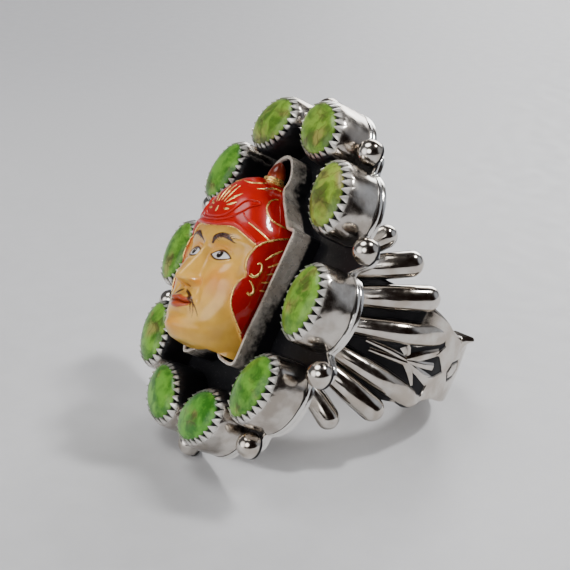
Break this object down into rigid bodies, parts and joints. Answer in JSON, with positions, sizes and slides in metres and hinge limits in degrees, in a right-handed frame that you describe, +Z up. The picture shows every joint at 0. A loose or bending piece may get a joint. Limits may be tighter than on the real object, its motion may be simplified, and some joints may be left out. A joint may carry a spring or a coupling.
{
  "type": "cluster finger ring with deity head",
  "caption": "Silver finger ring: a glazed, helmeted deity head in a collar, ringed by toothed cups of green stone and beads on a scalloped plate, with rayed shoulders.",
  "frame": {"origin": "bottom centre of the box, on the surface that the ring lies on", "axes": "+Z up from the surface the ring stands on, and the face looks towards -Y and up, leaning back 30 degrees. +X is across the face to its right as seen from the front, with the ring tipped 9 degrees on to its left side, as in the picture"},
  "size_m": [0.0342, 0.033, 0.0329],
  "materials": {
    "polished_silver": "polished sterling silver with black left in the recesses",
    "blackened_plate": "oxidised silver, nearly black, with a polished edge",
    "green_stone": "polished green stone with olive and brown matrix",
    "glazed_head": "painted and glazed: ivory face, red helmet and gilt lines"
  },
  "bodies": {
    "root": {"back_plate": "blackened_plate", "bead_01": "polished_silver", "bead_02": "polished_silver", "bead_03": "polished_silver", "bead_04": "polished_silver", "bead_05": "polished_silver", "bead_06": "polished_silver", "bead_07": "polished_silver", "bead_08": "polished_silver", "bead_09": "polished_silver", "bead_10": "polished_silver", "bezel_01": "polished_silver", "bezel_02": "polished_silver", "bezel_03": "polished_silver", "bezel_04": "polished_silver", "bezel_05": "polished_silver", "bezel_06": "polished_silver", "bezel_07": "polished_silver", "bezel_08": "polished_silver", "bezel_09": "polished_silver", "bezel_10": "polished_silver", "collar": "polished_silver", "head": "glazed_head", "shank": "polished_silver", "stone_01": "green_stone", "stone_02": "green_stone", "stone_03": "green_stone", "stone_04": "green_stone", "stone_05": "green_stone", "stone_06": "green_stone", "stone_07": "green_stone", "stone_08": "green_stone", "stone_09": "green_stone", "stone_10": "green_stone"}
  },
  "joints": []
}
